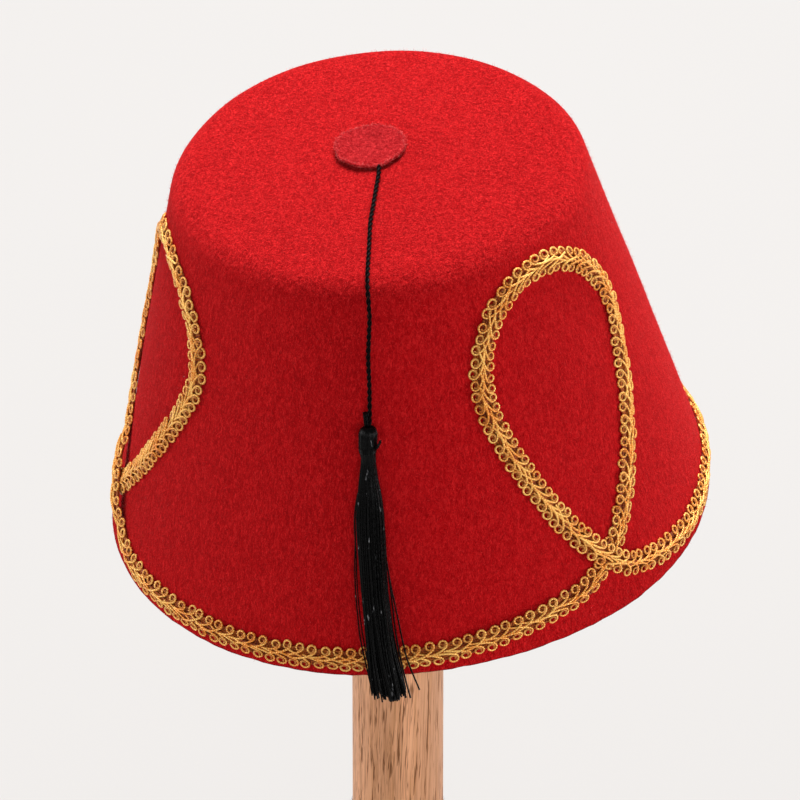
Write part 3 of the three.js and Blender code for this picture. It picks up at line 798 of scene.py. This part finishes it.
BED = 0.1
LOOP_PITCH = 3.65
HEM_PITCH = 4.15
CURL_THREAD = 0.37
CURL_MIDDLE = (0.35, 2.6)
RING = dict(lift=1.42, droop=0.3, droops_from=0.7)
INNER_END_RISE = (0.03, 0.06, 0.05, -0.05)
STEM_THREAD = 0.42
STEM_PLAIT = [(0, 0.42, 0.98), (2.09, 0.42, 0.98), (4.19, 0.42, 0.98), (0, 0, 0.5)]
GROUND_THREAD = 0.46
GROUND_THREADS_ACROSS = (-2.35, -1.65, -0.85, 0.85, 1.65, 2.35)
CROSSING = dict(lift=1.7, level=6.5, ends=15.5)
CURVE_STEPS = 60
LOOPS = [
    dict(cross=(43.9, 19), right=(69, 89.4), top=(45.1, 117.9), left=(23.6, 85.6), leave=(7.7, 5.3),
         arrive=(-5.2, 5.8), right_run=17.8, left_run=13.3, right_arch=0.51, left_arch=0.59),
    dict(cross=(160.9, 19.5), right=(186.6, 88), top=(163.5, 118), left=(140.6, 86), leave=(7.2, 5.6),
         arrive=(-6, 7), right_run=17, left_run=15, right_arch=0.53, left_arch=0.58),
    dict(cross=(277.6, 20.4), right=(307.3, 81.5), top=(280.2, 113.2), left=(259.6, 85), leave=(5.5, 5.5),
         arrive=(-14.4, 28.1), right_run=7, left_run=26.5, right_arch=0.6, left_arch=0.58),
]
HEM_RUNS = [
    dict(fall=28.3, bend=(3.5, -9.5), low=6.1, rise=52),
    dict(fall=28, bend=(3.5, -9), low=5.9, rise=52),
    dict(fall=16, bend=(3.2, -9), low=5.7, rise=51.9),
]
KNEE = dict(place=(-8.6, -6.8), before=(-12, -2.6), after=(3, 0.7), meet=(-3, -3.3))


def bent(a, b, c, d):
    """Points along a curve from a to d, drawn towards b and c"""
    share = np.linspace(0, 1, CURVE_STEPS, endpoint=False)[:, None]
    rest = 1 - share
    a, b, c, d = (np.asarray(point, float) for point in (a, b, c, d))
    return rest**3 * a + 3 * share * rest**2 * b + 3 * share**2 * rest * c + share**3 * d


def braid_line():
    """The braid's middle line, in degrees round the crown and height, its lift and its curls' pitch"""
    parts = []
    for i, (loop, run) in enumerate(zip(LOOPS, HEM_RUNS)):
        cross, right, top, left = (np.array(loop[key], float) for key in ("cross", "right", "top", "left"))
        onward = np.array(LOOPS[(i + 1) % 3]["cross"], float) + (360 if i == 2 else 0, 0)
        low = np.array((cross[0] + run["fall"], run["low"]))
        rise = np.array((onward[0] - run["rise"], run["low"]))
        knee = onward + KNEE["place"]
        right_up = (0, loop["right_arch"] * (top[1] - right[1]))
        left_up = (0, loop["left_arch"] * (top[1] - left[1]))
        right_in = (loop["right_arch"] * (right[0] - top[0]), 0)
        left_in = (loop["left_arch"] * (top[0] - left[0]), 0)
        parts += [
            (bent(cross, cross + loop["leave"], right - (0, loop["right_run"]), right), 0),
            (bent(right, right + right_up, top + right_in, top), 0),
            (bent(top, top - left_in, left + left_up, left), 0),
            (bent(left, left - (0, loop["left_run"]), cross + loop["arrive"], cross), -1),
            (bent(cross, cross + run["bend"], low - (0.42 * run["fall"], 0), low), 1),
            (bent(low, low + (rise - low) / 3, low + (rise - low) * 2 / 3, rise), 0),
            (bent(rise, rise + (0.35 * run["rise"], 0), knee + KNEE["before"], knee), 0),
            (bent(knee, knee + KNEE["after"], onward + KNEE["meet"], onward), 0),
        ]
    line, raised, pitch = [], [], []
    for i, (points, over) in enumerate(parts):
        wall = on_crown(np.radians(points[:, 0]), run_at_height(points[:, 1]), 0)
        along = lengths_along(wall)
        away = along[-1] - along if over < 0 else along
        lift = CROSSING["lift"] * (1 - eased(away, CROSSING["level"], CROSSING["ends"]))
        line.append(points)
        raised.append(lift if over else np.zeros(len(points)))
        pitch.append(np.full(len(points), LOOP_PITCH if i % 8 < 4 else HEM_PITCH))
    return np.concatenate(line), np.concatenate(raised), np.concatenate(pitch)


flat_line, lift_line, pitch_line = braid_line()
azimuth, run = np.radians(flat_line[:, 0]), run_at_height(flat_line[:, 1])
braid_middle = on_crown(azimuth, run, BED + lift_line)
braid_outward = on_crown(azimuth, run, BED + lift_line + 1) - braid_middle
closed = np.hstack([braid_middle, braid_outward])
closed = np.vstack([closed, closed[:1]])
along = lengths_along(closed[:, :3])
BRAID_LENGTH = along[-1]
curls_before = np.concatenate([[0], np.cumsum(np.diff(along) / pitch_line)])
CURLS_A_SIDE = round(curls_before[-1])
curls_before *= CURLS_A_SIDE / curls_before[-1]


def along_braid(distance, columns):
    """The closed braid's places, and its outward directions as further columns"""
    distance = distance % BRAID_LENGTH
    return np.stack([np.interp(distance, along, closed[:, k]) for k in range(columns)], -1)


def braid_at(distance):
    """Places along the closed braid, with its direction ahead, outwards and to the left"""
    place = along_braid(distance, 6)
    ahead = unit(along_braid(distance + 0.4, 3) - along_braid(distance - 0.4, 3))
    outward = unit(place[:, 3:] - ahead * np.sum(place[:, 3:] * ahead, axis=1, keepdims=True))
    return place[:, :3], ahead, outward, np.cross(outward, ahead)


def curl_line(side, radii, tail, spiral):
    """One thread's way from the stem round its ring, in millimetres along, across and up"""
    ring = []
    for angle, share in spiral:
        turn = math.radians(angle)
        across = CURL_MIDDLE[1] + share * radii[1] * math.sin(turn)
        up = RING["lift"] - RING["droop"] * max(0, across - RING["droops_from"])
        ring.append((CURL_MIDDLE[0] + share * radii[0] * math.cos(turn), across, up))
    line = np.array(tail + ring)
    line[-len(INNER_END_RISE):, 2] += INNER_END_RISE
    return line * (1, side, 1)


INNER_END_SHADE = (0.40, 0.095, 0.006, 1)
FOIL_RIDGES = 21000
FOIL_TWIST = 7600


def gold_finish(name, dark, light, roughness, inner_end):
    """Metal foil wound on a thread: bright, finely ridged, with painted shade at a curl's inner end, deep in
    its ring
    """
    finish, shader, start, place = new_finish(name)
    foil = start.noise(place, 1700, 3, 0.6)
    tarnish = start.noise(place, 130, 2, 0.5)
    along = start.attribute("along")
    ridges = (along * FOIL_RIDGES).sine()
    twist = (along * FOIL_TWIST).sine()
    shade = foil * 0.5 + tarnish * 0.5 + twist * 0.075
    colour = start.blend(start.stepped(shade, 0.38, 0.6), dark, light)
    # Painted shade: the last few millimetres of a curl's thread, deep inside its ring, turn darker
    in_shade = start.stepped(along, 0.0135, 0.017) * inner_end
    connect(
        start,
        shader,
        Base_Color=start.blend(in_shade, colour, INNER_END_SHADE),
        Metallic=0.3,
        Roughness=start.stepped(foil, 0.3, 0.7, roughness, roughness + 0.16),
        Normal=start.bump(twist + ridges * 0.3 + foil, 0.6, 0.00006),
    )
    return finish


gold_thread = gold_finish("gold_thread", (0.84, 0.26, 0.022, 1), (1.0, 0.60, 0.155, 1), 0.26, 0.75)
# Painted shade: the stem and ground threads are the same gold foil as the curls, painted dark brown where
# they lie under and between the curls
gold_in_painted_shade = gold_finish("gold_in_painted_shade", (0.18, 0.02, 0.001, 1), (0.46, 0.105, 0.005, 1), 0.45, 0.0)

LEFT_CURL = curl_line(
    1,
    (1.3, 1.24),
    [(-7.0, -0.55, 0.55), (-5.4, -0.45, 1.1), (-3.9, -0.2, 1.5), (-2.4, 0.12, 1.68), (-1.0, 0.55, 1.66),
     (0.15, 1.05, 1.5)],
    [(-58, 1.05), (-25, 1), (10, 1), (45, 1), (80, 1), (115, 1), (150, 1), (185, 1), (220, 0.95), (256, 0.84),
     (292, 0.7), (335, 0.56), (385, 0.48)],
)
RIGHT_CURL = curl_line(
    -1,
    (1.55, 1.24),
    [(-7.0, -0.55, 0.5), (-5.4, -0.45, 1.05), (-3.9, -0.2, 1.45), (-2.4, 0.1, 1.64), (-1.0, 0.5, 1.62),
     (0.2, 1.0, 1.48)],
    [(-56, 1.05), (-25, 1), (10, 1), (45, 1), (80, 1), (115, 1), (150, 1), (185, 0.99), (220, 0.92),
     (256, 0.78), (295, 0.62), (345, 0.5), (405, 0.42)],
)


def curls_tree():
    """A curl at each point of a line, square to the line and to the outward direction there"""
    start, given = new_tree(
        "curls", ("Curl", "Object"), ("Unevenness", "Float"), ("Seed", "Int"), ("Finish", "Material")
    )
    ahead, outward = (
        start.node("GeometryNodeInputNamedAttribute", {"data_type": "FLOAT_VECTOR"}, {"Name": label})
        for label in ("ahead", "outward")
    )
    square = start.node(
        "FunctionNodeAxesToRotation",
        {"primary_axis": "X", "secondary_axis": "Z"},
        {"Primary Axis": ahead, "Secondary Axis": outward},
    )
    loose = random_vector(start, (-0.12, -0.07, -0.16), (0.12, 0.07, 0.16), given["Seed"])
    lean = start.node(
        "ShaderNodeVectorMath", {"operation": "SCALE"}, {0: loose, "Scale": given["Unevenness"]}
    )
    size = random_vector(start, (0.94, 0.93, 0.9), (1.05, 1.06, 1.12), given["Seed"])
    curl = start.node("GeometryNodeObjectInfo", None, {"Object": given["Curl"]}, "Geometry")
    return end_tree(
        start, strewn(start, given["Geometry"], curl, square, lean, size), given["Finish"]
    )


CURLS = curls_tree()


def lay_curls(name, line, offset, seed):
    """One side's curls along the whole braid"""
    one = spin("one_curl", [line], CURL_THREAD, 4, gold_thread)
    place, ahead, outward, _ = braid_at(np.interp(np.arange(CURLS_A_SIDE) + offset, curls_before, along))
    mesh = bpy.data.meshes.new(name)
    mesh.from_pydata((place * MM).tolist(), [], [])
    for label, vectors in (("ahead", ahead), ("outward", outward)):
        mesh.attributes.new(label, "FLOAT_VECTOR", "POINT").data.foreach_set("vector", vectors.ravel())
    source = in_scene(name, mesh)
    piece = make_with(CURLS, source, name, Curl=one, Unevenness=1.0, Seed=seed, Finish=gold_thread)
    bpy.data.objects.remove(one)
    return piece


left_curls = lay_curls("braid_left_curls", LEFT_CURL, 0.0, 4)
right_curls = lay_curls("braid_right_curls", RIGHT_CURL, 0.5, 9)

distance = np.linspace(0, BRAID_LENGTH, int(BRAID_LENGTH / 0.8), endpoint=False)
place, ahead, outward, leftward = braid_at(distance)
plait = 2 * math.pi * np.interp(distance, along, curls_before)
stem = []
for phase, width, height in STEM_PLAIT:
    sway = width * np.sin(plait + phase)
    rise = height + 0.16 * np.sin(2 * plait + phase)
    stem.append(place + leftward * sway[:, None] + outward * rise[:, None])
braid_stem = spin("braid_stem", stem, STEM_THREAD, 6, gold_in_painted_shade, closed=True)

ground = []
for across in GROUND_THREADS_ACROSS:
    wave = 0.3 if abs(across) == max(GROUND_THREADS_ACROSS) else 0.1
    sway = across + wave * np.sin(plait + across)
    rise = 0.4 + 0.06 * np.sin(2 * plait + 3 * across)
    ground.append(place + leftward * sway[:, None] + outward * rise[:, None])
braid_ground = spin("braid_ground", ground, GROUND_THREAD, 4, gold_in_painted_shade, closed=True)

for piece in (left_curls, right_curls, braid_stem, braid_ground):
    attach(piece, "root")
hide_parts("gold_braid")

# Stand
# A turned oak knob that fills the top of the crown, on a round oak post and a round oak foot. They are
# screwed together from below and rubbed with clear wax.

GAP = 0.3
POST_RADIUS = 14.6
POST_ROUNDING = 0.8
POST_SIDES = 112
BASE = dict(radius=65, height=14, rounding=3, under_rounding=0.8, sides=160)
KNOB = dict(radius=34, dome=45, height=20, rounding=2.5)
inner_dome = TOP_DOME_RADIUS - FELT
dome_below = TOP_DOME_RADIUS - CROWN_HEIGHT
dome_x = HEM_CENTRE["x"] + dome_below * math.sin(TILT)
dome_z = HEM_CENTRE["z"] - dome_below * math.cos(TILT)
KNOB_TOP = dome_z + math.sqrt((inner_dome - KNOB["dome"] - GAP) ** 2 - dome_x**2) + KNOB["dome"]
POST_TOP = KNOB_TOP - KNOB["height"] - GAP
POST_FOOT = BASE["height"] + GAP


def turned_rings(outline, sides):
    """Rings of points round the stand's axis, from an outline of radius and height, top to bottom"""
    turns = np.linspace(0, 2 * math.pi, sides, endpoint=False)
    rings = [np.stack([r * np.cos(turns), r * np.sin(turns), np.full(sides, z)], -1) for r, z in outline]
    return np.concatenate(rings)


def turned(name, outline, sides, finish):
    """A solid piece turned on the stand's axis"""
    poles = [[0, 0, outline[0][1]], [0, 0, outline[-1][1]]]
    points = np.concatenate([turned_rings(outline, sides), poles])
    return new_piece(name, points, turned_faces(len(outline), sides, True), finish)


def rounded(radius, height, rounding, start, end):
    """Points round a turned edge, between two angles above the level"""
    middle = radius - rounding
    return [
        (middle + rounding * math.cos(angle), height + rounding * math.sin(angle))
        for angle in np.radians(np.linspace(start, end, 7))
    ]


def oak_finish(name, upright, offset):
    """Oak: slow bands of tone, with fine lines and long pores along the grain, and painted shade on the right
    of upright pieces
    """
    finish, shader, start, place = new_finish(name)
    if not upright:
        place = start.moved(place, turn=(0, math.pi / 2, 0))
    moved = start.moved(place, offset, (0.02, -0.035, 0))
    bands = start.noise(start.stretched(moved, (1, 1, 0.05)), 130, 3, 0.55, 0.4)
    rings = start.node(
        "ShaderNodeTexWave",
        {"wave_type": "RINGS", "rings_direction": "Z", "wave_profile": "SAW"},
        {"Vector": start.stretched(moved, (1, 1, 0.09)), "Scale": 60.0, "Distortion": 3.5, "Detail": 2.0,
         "Detail Scale": 6.0, "Detail Roughness": 0.6},
    )
    lines = start.noise(start.stretched(moved, (1, 1, 0.014)), 2100, 3, 0.6)
    pores = start.noise(start.stretched(moved, (1, 1, 0.04)), 1900, 2, 0.55, 0.3)
    open_pores = start.stepped(pores + rings * 0.1, 0.60, 0.72)
    tone = start.blend(start.stepped(bands, 0.35, 0.65), (0.83, 0.425, 0.23, 1), (0.66, 0.335, 0.175, 1))
    # Painted shade: on upright pieces, the side to the right of the axis is painted darker
    if upright:
        painted_shade_right = start.node("ShaderNodeSeparateXYZ", None, {0: place}, "X")
        tone = start.blend(start.stepped(painted_shade_right, 0.001, 0.012) * 0.8, tone, (0.50, 0.25, 0.13, 1))
    tone = start.blend(start.stepped(lines, 0.42, 0.68) * 0.7, tone, (0.33, 0.14, 0.06, 1))
    tone = start.blend(start.stepped(rings, 0.55, 1.0) * 0.35, tone, (0.52, 0.235, 0.09, 1))
    tone = start.blend(open_pores * 0.9, tone, (0.17, 0.06, 0.018, 1))
    connect(
        start,
        shader,
        Base_Color=tone,
        Roughness=start.stepped(open_pores + lines * 0.4, 0.0, 1.2, 0.5, 0.75),
        Normal=start.bump(lines * 0.3 - open_pores * 0.8, 0.35, 0.00025),
        Specular_IOR_Level=0.25,
    )
    return finish


oak = oak_finish("oak", True, (0.011, 0.024, 0.0))
oak_foot = oak_finish("oak_foot", False, (0.04, 0.02, 0.03))

foot = KNOB_TOP - KNOB["height"]
rim = math.asin(KNOB["radius"] / KNOB["dome"])
knob_outline = [
    (KNOB["dome"] * math.sin(tilt), KNOB_TOP - KNOB["dome"] + KNOB["dome"] * math.cos(tilt))
    for tilt in np.linspace(0.05, rim, 20)
]
knob_outline += rounded(KNOB["radius"], foot + KNOB["rounding"], KNOB["rounding"], 0, -90)
knob = turned("stand_knob", knob_outline + [(12, foot)], POST_SIDES, oak)
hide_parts("stand_cap")

post_outline = [(POST_RADIUS - 4, POST_TOP)]
post_outline += rounded(POST_RADIUS, POST_TOP - POST_ROUNDING, POST_ROUNDING, 90, 0)
post_outline += [(POST_RADIUS, z) for z in np.linspace(POST_TOP - 6, 20, 40)]
post_outline += rounded(POST_RADIUS, POST_FOOT + POST_ROUNDING, POST_ROUNDING, 0, -90)
post_outline += [(POST_RADIUS - 4, POST_FOOT)]
post = turned("oak_post", post_outline, POST_SIDES, oak)
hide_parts("stand_post")

base_outline = [(20, BASE["height"]), (45, BASE["height"])]
base_outline += rounded(BASE["radius"], BASE["height"] - BASE["rounding"], BASE["rounding"], 90, 0)
base_outline += rounded(BASE["radius"], BASE["under_rounding"], BASE["under_rounding"], 0, -90) + [(40, 0)]
base = turned("oak_base", base_outline, BASE["sides"], oak_foot)
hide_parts("stand_base")

for piece in (knob, post, base):
    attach(piece, "root")

# Collar
# A sleeve of grey brushed metal round the foot of the post, pressed on and left bare. Its ends are
# rolled over a little.

COLLAR = dict(top=68.6, wall=0.7)


def brushed_finish(name):
    """Grey metal with fine lines round it from the brush, and a few dull smudges"""
    finish, shader, start, place = new_finish(name)
    brushed = start.noise(start.stretched(place, (0.03, 0.03, 1)), 2600, 3, 0.6)
    smudges = start.noise(place, 60, 3, 0.5)
    connect(
        start,
        shader,
        Base_Color=start.blend(
            start.stepped(brushed, 0.3, 0.7), (0.42, 0.425, 0.43, 1), (0.60, 0.605, 0.61, 1)
        ),
        Metallic=0.6,
        Roughness=start.stepped(brushed * 0.6 + smudges * 0.4, 0.3, 0.7, 0.3, 0.46),
        Normal=start.bump(brushed, 0.25, 0.00004),
    )
    return finish


grey_metal = brushed_finish("grey_metal")
top = COLLAR["top"]
inner = POST_RADIUS + GAP
outer = inner + COLLAR["wall"]
collar_outline = [
    (inner, top - 0.3), (inner + 0.15, top - 0.05), (outer - 0.3, top), (outer - 0.05, top - 0.15),
    (outer, top - 0.5),
]
collar_outline += [(outer, z) for z in np.linspace(top - 2, POST_FOOT + 2, 12)]
collar_outline += [(outer, POST_FOOT + 0.3), (outer - 0.3, POST_FOOT), (inner, POST_FOOT)]
collar_faces = turned_faces(len(collar_outline), POST_SIDES, False)
last = (len(collar_outline) - 1) * POST_SIDES
for j in range(POST_SIDES):
    k = (j + 1) % POST_SIDES
    collar_faces.append((last + j, j, k, last + k))
collar = new_piece("metal_collar", turned_rings(collar_outline, POST_SIDES), collar_faces, grey_metal)
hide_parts("post_collar")
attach(collar, "root")

# Studio
# A plain pale floor that runs on to a pale surround, with one wide soft light overhead and weaker ones
# at each side and in front.

FLOOR_REACH = 20000
LIGHTS = [
    dict(name="overhead", place=(0.1, 0.78, 1.42), aim=0.3, width=0.9, height=0.8, power=48),
    dict(name="right_side", place=(1.46, -0.36, 0.15), aim=0.27, width=0.7, height=0.6, power=14.5),
    dict(name="left_side", place=(-1.48, 0.2, 0.45), aim=0.27, width=0.6, height=0.7, power=10.5),
    dict(name="front", place=(0.2, -2.2, 0.9), aim=0.2, width=1.6, height=0.8, power=14.5),
]
SURROUND = dict(colour=(1, 0.985, 0.97, 1), strength=0.33)

floor_finish, shader, start, place = new_finish("pale_floor")
cloud = start.noise(place, 3, 2, 0.5)
connect(
    start,
    shader,
    Base_Color=start.blend(start.stepped(cloud, 0.2, 0.8), (0.47, 0.46, 0.455, 1), (0.50, 0.49, 0.485, 1)),
    Roughness=0.95,
)
seen = start.node("ShaderNodeLightPath", output="Is Camera Ray")
glow = start.node("ShaderNodeEmission", None, {"Color": (0.84, 0.815, 0.795, 1), "Strength": 1.0})
lit = Wire(start.tree, shader.outputs[0])
surface = start.node("ShaderNodeMixShader", None, {0: seen * 0.8, 1: lit, 2: glow})
finish_end = start.tree.nodes["Material Output"]
start.tree.links.new(surface.socket, finish_end.inputs["Surface"])
corners = [(x * FLOOR_REACH, y * FLOOR_REACH, 0) for x, y in ((-1, -1), (1, -1), (1, 1), (-1, 1))]
floor = new_piece("pale_floor", corners, [(0, 1, 2, 3)], floor_finish)

for given in LIGHTS:
    lamp = bpy.data.lights.new(given["name"], "AREA")
    lamp.shape = "RECTANGLE"
    lamp.size, lamp.size_y, lamp.energy = given["width"], given["height"], given["power"]
    light = in_scene(given["name"], lamp)
    light.location = given["place"]
    towards_hat = Vector((0, 0, given["aim"])) - Vector(given["place"])
    light.rotation_euler = towards_hat.to_track_quat("-Z", "Y").to_euler()

world = bpy.data.worlds.new("pale_surround")
world.use_nodes = True
background = world.node_tree.nodes["Background"]
background.inputs["Color"].default_value = SURROUND["colour"]
background.inputs["Strength"].default_value = SURROUND["strength"]
bpy.context.scene.world = world
bpy.context.scene.view_settings.view_transform = "Standard"

bpy.context.view_layer.update()
